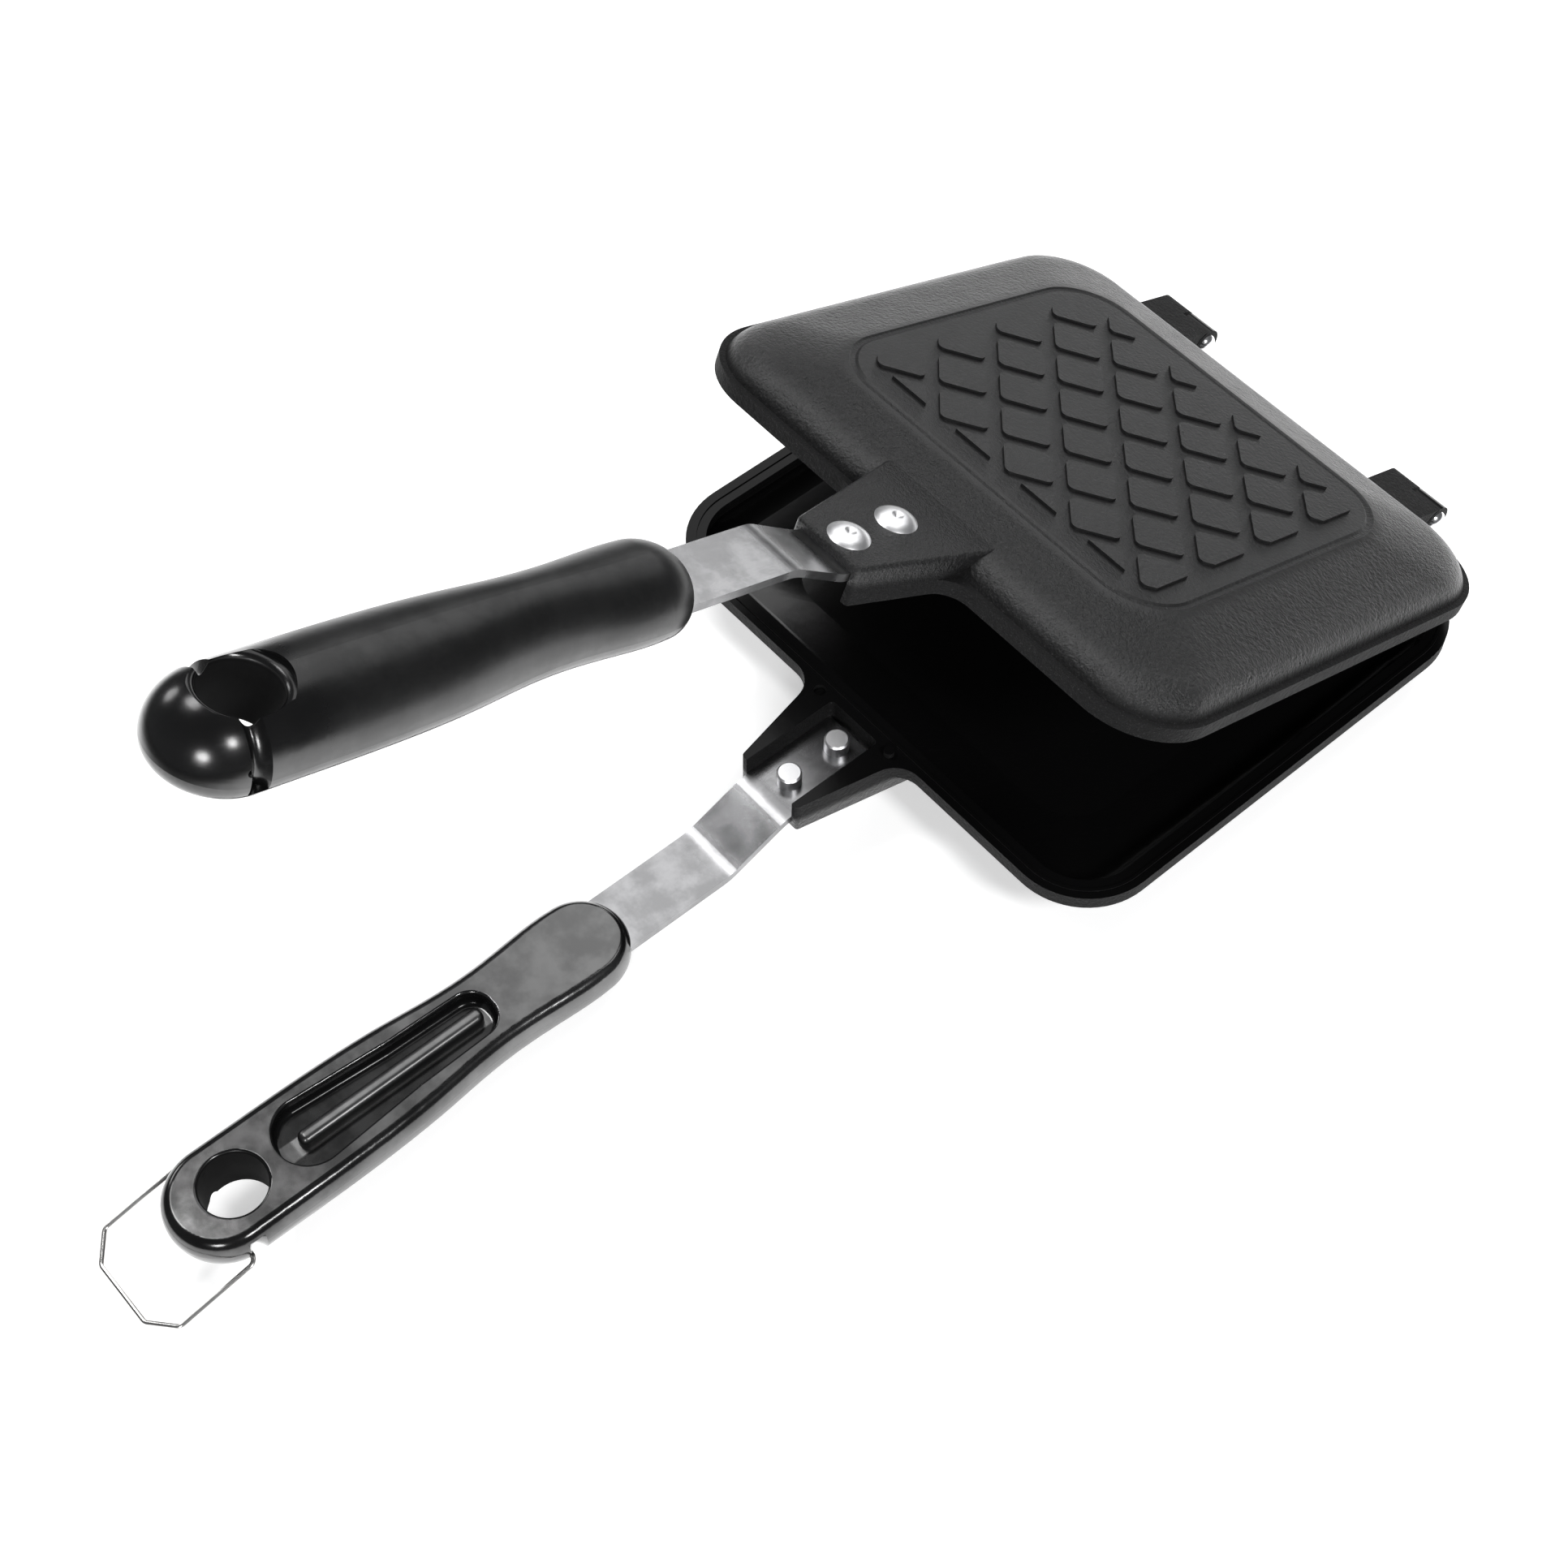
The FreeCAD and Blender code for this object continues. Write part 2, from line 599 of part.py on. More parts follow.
def hang_hole():
    """Hole through the grip with flared lips."""
    face = GRIP_FACE_HEIGHT
    back = GRIP_WIDEST_HEIGHT + GRIP_BACK_RISE
    narrow = HANG_HOLE_RADIUS
    wide = HANG_HOLE_RADIUS + HANG_LIP
    widest = HANG_HOLE_RADIUS + HANG_BACK_LIP
    half_turn = math.cos(math.radians(45))
    flare = back - 2 * HANG_BACK_LIP
    flare_end = back - HANG_BACK_LIP
    edges = [
        Part.makeLine(V(0, 0, face - OVERRUN), V(wide, 0, face - OVERRUN)),
        Part.makeLine(V(wide, 0, face - OVERRUN), V(wide, 0, face)),
        Part.Arc(V(wide, 0, face), V(wide - half_turn * HANG_LIP, 0, face + (1 - half_turn) * HANG_LIP),
                 V(narrow, 0, face + HANG_LIP)).toShape(),
        Part.makeLine(V(narrow, 0, face + HANG_LIP), V(narrow, 0, flare)),
        Part.Arc(V(narrow, 0, flare),
                 V(widest - half_turn * HANG_BACK_LIP, 0, flare + half_turn * HANG_BACK_LIP),
                 V(widest, 0, flare_end)).toShape(),
        Part.makeLine(V(widest, 0, flare_end), V(widest, 0, back + OVERRUN)),
        Part.makeLine(V(widest, 0, back + OVERRUN), V(0, 0, back + OVERRUN)),
        Part.makeLine(V(0, 0, back + OVERRUN), V(0, 0, face - OVERRUN)),
    ]
    hole = turned_profile(edges, ORIGIN, OUT)
    hole.translate(V(0, HANG_HOLE_PLACE, 0))
    return hole


def wire_groove():
    """Rounded groove across the back and sides that catches the wire of the other grip."""
    place = GRIP_FAR_CENTRE + WIRE_GROOVE_OFFSET
    reach = GRIP_FAR_RADIUS + OVERRUN
    around = box(-reach, reach, place - WIRE_GROOVE_WIDTH / 2, place + WIRE_GROOVE_WIDTH / 2,
                 GRIP_FACE_HEIGHT + GRIP_EDGE_DEPTH / 2,
                 GRIP_WIDEST_HEIGHT + GRIP_BACK_RISE + OVERRUN)
    wires = []
    for side, depth in ((-1, 0), (0, WIRE_GROOVE_DEPTH), (1, 0)):
        y = place + side * WIRE_GROOVE_WIDTH / 2
        wires.append(grip_section(GRIP_FAR_RADIUS, GRIP_BACK_RISE, y, depth))
    return around.cut(Part.makeLoft(wires, True, False))


def finger_recess():
    """Pear-shaped recess in the flat face with a low rib along its middle."""
    start = PAN_FRONT + GRIP_START + RECESS_START
    end_centre = start + RECESS_LENGTH - RECESS_FAR_RADIUS
    neck = blended(start, end_centre, 1 / 2)
    half = RECESS_NEAR_WIDTH / 2
    corner = RECESS_CORNER_RADIUS
    turn = corner * (1 - math.cos(math.radians(45)))
    bottom = GRIP_FACE_HEIGHT - OVERRUN
    right = [V(half - corner, start, bottom), V(half - turn, start + turn, bottom),
             V(half, start + corner, bottom)]
    left = [V(-half, start + corner, bottom), V(turn - half, start + turn, bottom),
            V(corner - half, start, bottom)]
    neck_right = V(half + RECESS_CORNER_RADIUS / 10, neck, bottom)
    neck_left = V(-neck_right.x, neck, bottom)
    far_right = V(RECESS_FAR_RADIUS, end_centre, bottom)
    far_left = V(-RECESS_FAR_RADIUS, end_centre, bottom)
    edges = [
        Part.Arc(*right).toShape(),
        Part.makeLine(right[-1], neck_right),
        Part.makeLine(neck_right, far_right),
        Part.Arc(far_right, V(0, end_centre + RECESS_FAR_RADIUS, bottom), far_left).toShape(),
        Part.makeLine(far_left, neck_left),
        Part.makeLine(neck_left, left[0]),
        Part.Arc(*left).toShape(),
        Part.makeLine(left[-1], right[0]),
    ]
    hollow = slab(Part.Wire(edges), OVERRUN + RECESS_DEPTH)
    floor_edges = [edge for edge in hollow.Edges if edge.BoundBox.ZMin > GRIP_FACE_HEIGHT]
    hollow = hollow.makeFillet(RECESS_FLOOR_RADIUS, floor_edges)
    rib = slab(rounded_rectangle(RIB_WIDTH / 2, start + RIB_START, start + RIB_START + RIB_LENGTH,
                                 RIB_WIDTH / 2 - CLOSED_CLEARANCE, GRIP_FACE_HEIGHT + RIB_DROP),
               RECESS_DEPTH)
    rib_top = [edge for edge in rib.Edges
               if edge.BoundBox.ZMax < GRIP_FACE_HEIGHT + RECESS_DEPTH / 2]
    return hollow.cut(rib.makeFillet(RIB_TOP_RADIUS, rib_top))


def recess_rim(shape):
    """Edges of the finger recess in the flat face of the grip."""
    low = PAN_FRONT + GRIP_START + RECESS_START - CLOSED_CLEARANCE
    high = low + RECESS_LENGTH + 2 * CLOSED_CLEARANCE
    rim = []
    for edge in shape.Edges:
        bounds = edge.BoundBox
        level = abs(bounds.ZMin - GRIP_FACE_HEIGHT) + abs(bounds.ZMax - GRIP_FACE_HEIGHT)
        inside = bounds.YMin > low and bounds.YMax < high
        within = max(-bounds.XMin, bounds.XMax) < RECESS_FAR_RADIUS + CLOSED_CLEARANCE
        if level < CLOSED_CLEARANCE and inside and within:
            rim.append(edge)
    return rim


def grip():
    """Moulded grip with the pocket for the strap's end and the two holes for the wire."""
    pocket = bent_strip(STRAP_WIDTH + 2 * TANG_CLEARANCE, TANG_CLEARANCE)
    bottom = GRIP_FAR_RADIUS - WIRE_PIVOT_DEPTH - WIRE_CLEARANCE
    radius = WIRE_RADIUS + WIRE_CLEARANCE
    outside = GRIP_FAR_RADIUS + OVERRUN
    right_hole = bar(radius, bottom, outside, WIRE_PIVOT_PLACE, WIRE_PIVOT_HEIGHT)
    left_hole = bar(radius, -outside, -bottom, WIRE_PIVOT_PLACE, WIRE_PIVOT_HEIGHT)
    shape = grip_body().cut(
        [hang_hole(), wire_groove(), finger_recess(), pocket, right_hole, left_hole]
    )
    return shape.makeFillet(RECESS_RIM_RADIUS, recess_rim(shape))


# Wire loop

def rounded_path(points, radius):
    """Wire of straight runs joined by tangent arcs."""
    edges = []
    previous = points[0]
    for before, corner, after in zip(points, points[1:], points[2:]):
        back = (before - corner).normalize()
        forward = (after - corner).normalize()
        half_angle = back.getAngle(forward) / 2
        run = radius / math.tan(half_angle)
        bisector = (back + forward).normalize()
        centre = corner + bisector * (radius / math.sin(half_angle))
        start = corner + back * run
        end = corner + forward * run
        edges.append(Part.makeLine(previous, start))
        edges.append(Part.Arc(start, centre - bisector * radius, end).toShape())
        previous = end
    edges.append(Part.makeLine(previous, points[-1]))
    return Part.Wire(edges)


def latch_wire():
    """Bent wire loop: two ends in the grip's sides, two rails, clipped corners and an end bar."""
    rail = WIRE_RAIL_SPACING / 2
    bar_end = WIRE_BAR_LENGTH / 2
    tip = GRIP_FAR_RADIUS - WIRE_PIVOT_DEPTH
    points = [
        V(tip, 0, 0), V(rail, 0, 0), V(rail, WIRE_RAIL_LENGTH, 0), V(bar_end, WIRE_LENGTH, 0),
        V(-bar_end, WIRE_LENGTH, 0), V(-rail, WIRE_RAIL_LENGTH, 0), V(-rail, 0, 0), V(-tip, 0, 0),
    ]
    path = rounded_path(points, WIRE_BEND_RADIUS)
    section = Part.Wire(Part.makeCircle(WIRE_RADIUS, points[0], ALONG))
    loop = path.makePipeShell([section], True, False)
    loop.rotate(ORIGIN, ALONG, WIRE_DROOP_ANGLE)
    loop.translate(V(0, WIRE_PIVOT_PLACE, WIRE_PIVOT_HEIGHT))
    return loop


# Places in the finished object

def lie_angle():
    """Angle by which the lower half leans, resting on its far pads and on the near end of its grip."""
    drop = GRIP_WIDEST_HEIGHT + GRIP_BACK_RISE * GRIP_BACK_SHARES[0] - PAD_HEIGHT
    return math.degrees(math.atan(drop / (GRIP_NEAR_CENTRE - PAD_FIELD_FAR)))


def lower(shape):
    """Piece of the lower half, turned face up."""
    placed = shape.copy()
    placed.rotate(ORIGIN, ALONG, 180 - lie_angle())
    return placed


def upper(shape):
    """Piece of the upper half, turned face down and opened about the hinge axis."""
    placed = shape.copy()
    placed.rotate(ORIGIN, OUT, 180)
    placed.rotate(ORIGIN, ALONG, -OPEN_ANGLE - lie_angle())
    return placed


def across(shape, x, y):
    """Copy moved within its half."""
    moved = shape.copy()
    moved.translate(V(x, y, 0))
    return moved


def all_nodes():
    """Every separate piece of the object by name."""
    one_pan = pan()
    one_strap = strap()
    one_grip = grip()
    one_rivet = rivet()
    one_pin = hinge_pin()
    nodes = {}
    for half, place in (("lower", lower), ("upper", upper)):
        nodes[half + "_pan"] = place(one_pan)
        nodes[half + "_strap"] = place(one_strap)
        nodes[half + "_grip"] = place(one_grip)
        nodes[half + "_rivet_front"] = place(across(one_rivet, 0, PAN_FRONT + RIVET_FRONT))
        nodes[half + "_rivet_rear"] = place(across(one_rivet, 0, PAN_FRONT + RIVET_REAR))
    nodes["hinge_pin_left"] = lower(across(one_pin, -HINGE_SPACING / 2, 0))
    nodes["hinge_pin_right"] = lower(across(one_pin, HINGE_SPACING / 2, 0))
    nodes["latch_wire"] = lower(latch_wire())
    return nodes


def main():
    """Move the object so that the origin is the middle of its footprint, and write the pieces."""
    os.makedirs("parts", exist_ok=True)
    nodes = all_nodes()
    bounds = Part.makeCompound(list(nodes.values())).optimalBoundingBox(False, False)
    shift = V(-bounds.Center.x, -bounds.Center.y, -bounds.ZMin)
    pivot = lower(Part.Vertex(0, WIRE_PIVOT_PLACE, WIRE_PIVOT_HEIGHT)).Point
    print("hinge axis at", shift)
    print("wire pivot at", pivot + shift)
    print("lie angle", lie_angle())
    for name, shape in nodes.items():
        shape.translate(shift)
        print(name, shape.isValid(), len(shape.Solids), round(shape.Volume, 1))
        shape.exportStep("parts/" + name + ".step")


main()
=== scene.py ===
# %% [markdown]
# # A pie iron, dressed for a studio picture
#
# The CAD model gives every solid piece of the pan for toasted sandwiches: two cast halves on two
# hinges, two steel straps, two moulded grips, rivets, hinge pins and a wire loop. Blender adds
# what CAD leaves out: the finishes, the light and the camera. The solids are loaded once, as a
# fixed frame, and nothing in them is moved.

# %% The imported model
import json
import math

import bmesh
import bpy
from mathutils import Euler, Matrix, Vector


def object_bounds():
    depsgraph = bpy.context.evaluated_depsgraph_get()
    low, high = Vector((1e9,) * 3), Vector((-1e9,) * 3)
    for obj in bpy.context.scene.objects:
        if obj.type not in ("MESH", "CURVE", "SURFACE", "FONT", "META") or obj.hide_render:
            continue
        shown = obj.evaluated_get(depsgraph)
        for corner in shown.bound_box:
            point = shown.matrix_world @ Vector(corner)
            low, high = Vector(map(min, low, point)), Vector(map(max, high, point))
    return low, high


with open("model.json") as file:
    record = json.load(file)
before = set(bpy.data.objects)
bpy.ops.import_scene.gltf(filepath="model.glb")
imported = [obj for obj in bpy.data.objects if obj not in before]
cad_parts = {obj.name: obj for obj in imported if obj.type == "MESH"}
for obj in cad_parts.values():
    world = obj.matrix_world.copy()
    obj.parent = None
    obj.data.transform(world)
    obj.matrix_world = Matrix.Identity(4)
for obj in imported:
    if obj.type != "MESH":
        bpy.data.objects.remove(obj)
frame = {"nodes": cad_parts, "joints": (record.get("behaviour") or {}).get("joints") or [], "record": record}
cad_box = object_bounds()
print("pieces:", ", ".join(sorted(frame["nodes"])))

# %% [markdown]
# ## Finding the way around
#
# Both halves are one casting, used twice, so it pays to think in the frame of one half: u runs
# along the hinges, v from the hinge axis to the grip, and w outwards from the plane where the
# halves meet. The record of the model says where the hinge axis is, how far the lid stands open,
# and how the lower half leans on the table. These three facts are enough to turn a place on the
# iron into u, v and w.

# %% The hinge axis, the lean and the opening
lid_hinge = next(joint for joint in frame["joints"] if joint["name"] == "lid_hinge")
rest_face = next(m for m in frame["record"]["mounts"] if m["name"] == "lower_pan_rest")
HINGE = Vector(lid_hinge["pos_m"])
OPENING = -math.radians(lid_hinge["range_deg"][0])
LEAN = math.atan2(-rest_face["axis"][1], -rest_face["axis"][2])
HALF_TURN = {
    "lower": Euler((math.pi + LEAN, 0, 0)),
    "upper": Euler((LEAN + OPENING, 0, math.pi)),
}
print("lean", round(math.degrees(LEAN), 2), "opening", round(math.degrees(OPENING), 2))

# %% [markdown]
# ## The camera
#
# The photograph was taken from above the right-hand side of the grips, with a lens of about 60 mm
# on a full-frame sensor. A camera can be moved by eye until the picture fits, but here its place
# was worked out from points of the iron in the picture, which also gives the lens. It is told
# from the hinge axis and leans with the lower half: where the model stands, the camera follows.

# %% Camera
CAMERA_PLACE = Vector((0.243942, -0.386484, 0.472954))
CAMERA_LOOK = Vector((-0.420104, 0.379521, -0.824304))
CAMERA_RIGHT = Vector((0.654421, 0.755991, 0.014545))

camera = bpy.data.objects.new("camera", bpy.data.cameras.new("camera"))
bpy.context.collection.objects.link(camera)
camera.data.sensor_width = 36
camera.data.lens = 59.465
camera.data.clip_start = 0.01
lean_turn = Matrix.Rotation(-LEAN, 3, "X")
camera_up = CAMERA_RIGHT.cross(CAMERA_LOOK)
camera_axes = Matrix((CAMERA_RIGHT, camera_up, -CAMERA_LOOK)).transposed()
camera.matrix_world = (
    Matrix.Translation(HINGE + lean_turn @ CAMERA_PLACE)
    @ (lean_turn @ camera_axes).to_4x4()
)
bpy.context.scene.camera = camera
print("camera at", camera.location, "lens", camera.data.lens)

# %% [markdown]
# ## Tools for the materials
#
# Every material here is made of nodes, and most nodes do one small sum. A few helpers make them,
# so a recipe reads as a list of sums: calc is one Math node, ramp a smooth step, band a stretch
# between two smooth edges, and shade a mix of two colours. Each helper takes plain numbers or
# another node's output.


# %% A new material, and how to plug things in
def blank_material(name):
    """New node material: the material, its tree and its Principled shader."""
    material = bpy.data.materials.new(name)
    material.use_nodes = True
    tree = material.node_tree
    return material, tree, tree.nodes["Principled BSDF"]


def plug(tree, source, target, key):
    """Link an output, or set a plain number."""
    if isinstance(source, bpy.types.NodeSocket):
        tree.links.new(source, target.inputs[key])
    else:
        target.inputs[key].default_value = source


print("material helpers ready")


# %% Sums, steps and mixes
def calc(tree, operation, first, second=0.0, third=0.0):
    """One Math node."""
    node = tree.nodes.new("ShaderNodeMath")
    node.operation = operation
    for key, value in enumerate((first, second, third)):
        plug(tree, value, node, key)
    return node.outputs[0]


def ramp(tree, value, low, high, out_low=0.0, out_high=1.0):
    """Smooth step from one value to another."""
    node = tree.nodes.new("ShaderNodeMapRange")
    node.interpolation_type = "SMOOTHSTEP"
    plug(tree, value, node, "Value")
    node.inputs["From Min"].default_value = low
    node.inputs["From Max"].default_value = high
    node.inputs["To Min"].default_value = out_low
    node.inputs["To Max"].default_value = out_high
    return node.outputs["Result"]


def band(tree, value, rise, fall):
    """1 between two smooth edges, and 0 outside them."""
    return calc(tree, "MULTIPLY", ramp(tree, value, *rise), ramp(tree, value, *fall, 1.0, 0.0))


def mix(tree, share, first, second):
    """Mix of two numbers."""
    node = tree.nodes.new("ShaderNodeMix")
    plug(tree, share, node, 0)
    plug(tree, first, node, 2)
    plug(tree, second, node, 3)
    return node.outputs[0]


def shade(tree, share, dark, light):
    """Mix of two colours."""
    node = tree.nodes.new("ShaderNodeMix")
    node.data_type = "RGBA"
    plug(tree, share, node, 0)
    plug(tree, dark, node, 6)
    plug(tree, light, node, 7)
    return node.outputs[2]


def grey(value, blue=0.0):
    """A grey with a touch of blue, as a colour."""
    return (value, value, value + blue, 1)


print("sums ready")

# %% [markdown]
# ## The floor
#
# The iron stands on a wide sheet of white paper on a grey studio floor. The picture's ground is
# pure white, so the paper shows brighter to the camera than the lamps make it, while it keeps the
# soft shadow under the iron. Near the iron it also shows brighter in reflections, which gives the
# grips the light flanks of the photograph. More lamps would whiten the paper too, but would wash
# out the black.

# %% Floor sheet
FLOOR_GAP = 0.0002
floor_mesh = bpy.data.meshes.new("floor")
sheet = bmesh.new()
bmesh.ops.create_grid(sheet, x_segments=1, y_segments=1, size=4)
sheet.to_mesh(floor_mesh)
sheet.free()
floor = bpy.data.objects.new("floor", floor_mesh)
bpy.context.collection.objects.link(floor)
floor.location.z = cad_box[0].z - FLOOR_GAP
print("floor at", round(floor.location.z, 5), "with", len(floor_mesh.polygons), "face")

# %% Floor paint: white paper that ends in a grey floor
PAPER_EDGE = (0.42, 0.80)
GLOW_EDGE = (0.25, 0.60)

floor_paint, tree, shader = blank_material("floor_paint")
floor_place = tree.nodes.new("ShaderNodeTexCoord")
from_middle = tree.nodes.new("ShaderNodeVectorMath")
from_middle.operation = "LENGTH"
tree.links.new(floor_place.outputs["Object"], from_middle.inputs[0])
off_paper = ramp(tree, from_middle.outputs["Value"], *PAPER_EDGE)
paper_colour = shade(tree, off_paper, grey(0.86), grey(0.12))
tree.links.new(paper_colour, shader.inputs["Base Color"])
shader.inputs["Roughness"].default_value = 0.9
shader.inputs["Specular IOR Level"].default_value = 0
print("paper from", PAPER_EDGE[0], "to", PAPER_EDGE[1], "m")

# %% Floor lift: how much whiter the floor shows to the camera and in gloss
rays = tree.nodes.new("ShaderNodeLightPath")
lift_to_camera = calc(tree, "MULTIPLY_ADD", off_paper, 0.55, 0.45)
seen_lift = calc(tree, "MULTIPLY", rays.outputs["Is Camera Ray"], lift_to_camera)
gloss_lift = ramp(tree, from_middle.outputs["Value"], *GLOW_EDGE, 1.1, 0.0)
lift_strength = calc(tree, "MULTIPLY_ADD", rays.outputs["Is Glossy Ray"], gloss_lift, seen_lift)
lift = tree.nodes.new("ShaderNodeEmission")
lift.inputs["Color"].default_value = grey(1.0)
tree.links.new(lift_strength, lift.inputs["Strength"])
both = tree.nodes.new("ShaderNodeAddShader")
tree.links.new(shader.outputs[0], both.inputs[0])
tree.links.new(lift.outputs[0], both.inputs[1])
tree.links.new(both.outputs[0], tree.nodes["Material Output"].inputs["Surface"])
floor.data.materials.append(floor_paint)
print("floor material:", floor.data.materials[0].name)

# %% [markdown]
# ## Light
#
# Black gloss lives from what it reflects. A wide soft box behind the iron gives the grey sheen on
# the flat faces, a small lamp above picks out the bends of the straps, and a card far behind
# lights the lid's top. Three small round lamps, in front, at the left and at the right, give the
# sharp highlights on the round ends and the shadow on the paper. Each is told by how bright it
# looks in a mirror, because that is what a glossy black surface shows.


# %% Lamps
def soft_lamp(name, place, target, size, glow, shape="ELLIPSE"):
    """Area lamp at a place, turned to its target. Glow is how bright it looks in a mirror."""
    lamp = bpy.data.lights.new(name, "AREA")
    lamp.shape = shape
    lamp.size, lamp.size_y = size
    area = size[0] * size[1] * (1 if shape == "RECTANGLE" else math.pi / 4)
    lamp.energy = glow * math.pi * area
    holder = bpy.data.objects.new(name, lamp)
    bpy.context.collection.objects.link(holder)
    aim = (Vector(target) - Vector(place)).to_track_quat("-Z", "Y")
    holder.matrix_world = Matrix.Translation(place) @ aim.to_matrix().to_4x4()
    return holder


lamps = [
    soft_lamp("back_box", (-0.50, 0.83, 1.20), (0, 0, 0.02), (1.5, 1.35), 2.2, "RECTANGLE"),
    soft_lamp("bend_lamp", (-0.60, -0.11, 1.20), (0, -0.02, 0.02), (0.30, 0.46), 15),
    soft_lamp("strap_card", (-0.90, 1.60, 0.66), (0, 0, 0.08), (0.75, 0.34), 2.6, "RECTANGLE"),
    soft_lamp("front_lamp", (0.72, -0.95, 0.80), (0, 0.03, 0.03), (0.34, 0.34), 22),
    soft_lamp("left_lamp", (-1.15, -0.25, 0.62), (0, 0, 0.05), (0.34, 0.34), 8),
    soft_lamp("right_lamp", (1.15, 0.05, 1.15), (0, 0.05, 0.03), (0.34, 0.34), 45),
]
print("lamps:", [lamp.name for lamp in lamps])

# %% [markdown]
# ## The room
#
# The room around the table is dim, so that the black coat and the grips have something dark to
# reflect. Behind the floor the camera sees plain white instead. A Light Path node makes the
# choice, which changes the background and leaves the light on the iron as it is.

# %% Dim room, white backdrop
scene = bpy.context.scene
scene.view_settings.view_transform = "Standard"
scene.world = bpy.data.worlds.new("room")
scene.world.use_nodes = True
room = scene.world.node_tree
dim_air = room.nodes["Background"]
dim_air.inputs["Color"].default_value = (0.95, 0.97, 1.0, 1)
dim_air.inputs["Strength"].default_value = 0.13
backdrop = room.nodes.new("ShaderNodeBackground")
backdrop.inputs["Color"].default_value = grey(1.0)
room_rays = room.nodes.new("ShaderNodeLightPath")
choice = room.nodes.new("ShaderNodeMixShader")
room.links.new(room_rays.outputs["Is Camera Ray"], choice.inputs[0])
room.links.new(dim_air.outputs[0], choice.inputs[1])
room.links.new(backdrop.outputs[0], choice.inputs[2])
room.links.new(choice.outputs[0], room.nodes["World Output"].inputs["Surface"])
print("room strength", dim_air.inputs["Strength"].default_value)

# %% [markdown]
# ## Tools for the finishes
#
# The finishes read Object coordinates, turned into the u, v and w of their own half, so that one
# recipe serves both halves, and a pattern stays on its piece when the lid turns. A Mapping node
# does the turn. The normal, turned the same way, tells the outside of a piece from its inside.


# %% Places on a half
def half_place(tree, half, scale=(1, 1, 1)):
    """u, v and w of one half in millimetres, each times its own scale."""
    source = tree.nodes.new("ShaderNodeTexCoord")
    turn = tree.nodes.new("ShaderNodeMapping")
    turn.inputs["Rotation"].default_value = HALF_TURN[half]
    turn.inputs["Location"].default_value = -(HALF_TURN[half].to_matrix() @ HINGE)
    tree.links.new(source.outputs["Object"], turn.inputs["Vector"])
    size = tree.nodes.new("ShaderNodeVectorMath")
    size.operation = "MULTIPLY"
    tree.links.new(turn.outputs[0], size.inputs[0])
    size.inputs[1].default_value = [1000 * s for s in scale]
    return size.outputs[0]


def split_place(tree, place):
    """The u, v and w of a place, as three outputs."""
    node = tree.nodes.new("ShaderNodeSeparateXYZ")
    tree.links.new(place, node.inputs[0])
    return node.outputs[0], node.outputs[1], node.outputs[2]


def outward_share(tree, half):
    """How far the surface faces outwards from the meeting plane, from -1 to 1."""
    source = tree.nodes.new("ShaderNodeTexCoord")
    dot = tree.nodes.new("ShaderNodeVectorMath")
    dot.operation = "DOT_PRODUCT"
    tree.links.new(source.outputs["Normal"], dot.inputs[0])
    dot.inputs[1].default_value = HALF_TURN[half].to_matrix().transposed() @ Vector((0, 0, 1))
    return dot.outputs["Value"]


print("places ready for", list(HALF_TURN))


# %% Noise, bump, and how a piece gets its finish
def noise(tree, place, scale, detail=2.0, rough=0.5):
    """Noise, in cycles per millimetre of the place it is given."""
    node = tree.nodes.new("ShaderNodeTexNoise")
    tree.links.new(place, node.inputs["Vector"])
    node.inputs["Scale"].default_value = scale
    node.inputs["Detail"].default_value = detail
    node.inputs["Roughness"].default_value = rough
    return node.outputs["Fac"]


def bump(tree, height, distance, strength=1.0, under=None):
    """Bump of a given depth in metres, over another one if there is one."""
    node = tree.nodes.new("ShaderNodeBump")
    node.inputs["Distance"].default_value = distance
    plug(tree, strength, node, "Strength")
    plug(tree, height, node, "Height")
    if under is not None:
        tree.links.new(under, node.inputs["Normal"])
    return node.outputs["Normal"]


def finish(node_names, material):
    """Give CAD pieces a finish by their material slots."""
    for name in node_names:
        piece = frame["nodes"][name]
        if not piece.material_slots:
            piece.data.materials.append(material)
        for slot in piece.material_slots:
            slot.material = material
    print(material.name, "->", ", ".join(node_names))


print("noise and bump ready")

# %% [markdown]
# ## The cast halves
#
# The halves are cast aluminium under a baked non-stick coat. Outside, the mould's sand-blasted
# skin shows through the coat as fine pebbles on the sloping wall, softer on the flat panel.
# Inside, the coat was sprayed thicker and is glossy, nearly black. The round shoulder, which
# cloths and towels touch first, is rubbed to a faint shine, and the edge of the flange is dull.
# Pebbles could be modelled, but each is under a millimetre wide and much flatter, so noise in the
# bump and in the colour is enough; grey specks in the colour on the pebbles' tops are painted
# glints. The height w over the meeting plane tells flange, shoulder, slope and panel apart, so no
# mask has to be painted.

# %% Heights on the wall, in millimetres of w
DULL_EDGE = (4.2, 6.6)
SHOULDER_EDGE = (4.6, 7.6)
SLOPE_EDGE = (8.4, 10.4)
PANEL_EDGE = (12.2, 12.9)
INSIDE_BLACK = grey(0.003, 0.0001)
COAT_DARK = grey(0.0065, 0.0002)
COAT_LIGHT = grey(0.0105, 0.0002)
# grey of the glints painted on the pebbles' tops
GLINT_SPECK_GREY = grey(0.075, 0.001)
print("flange below", SHOULDER_EDGE[0], "mm, panel above", PANEL_EDGE[0], "mm")


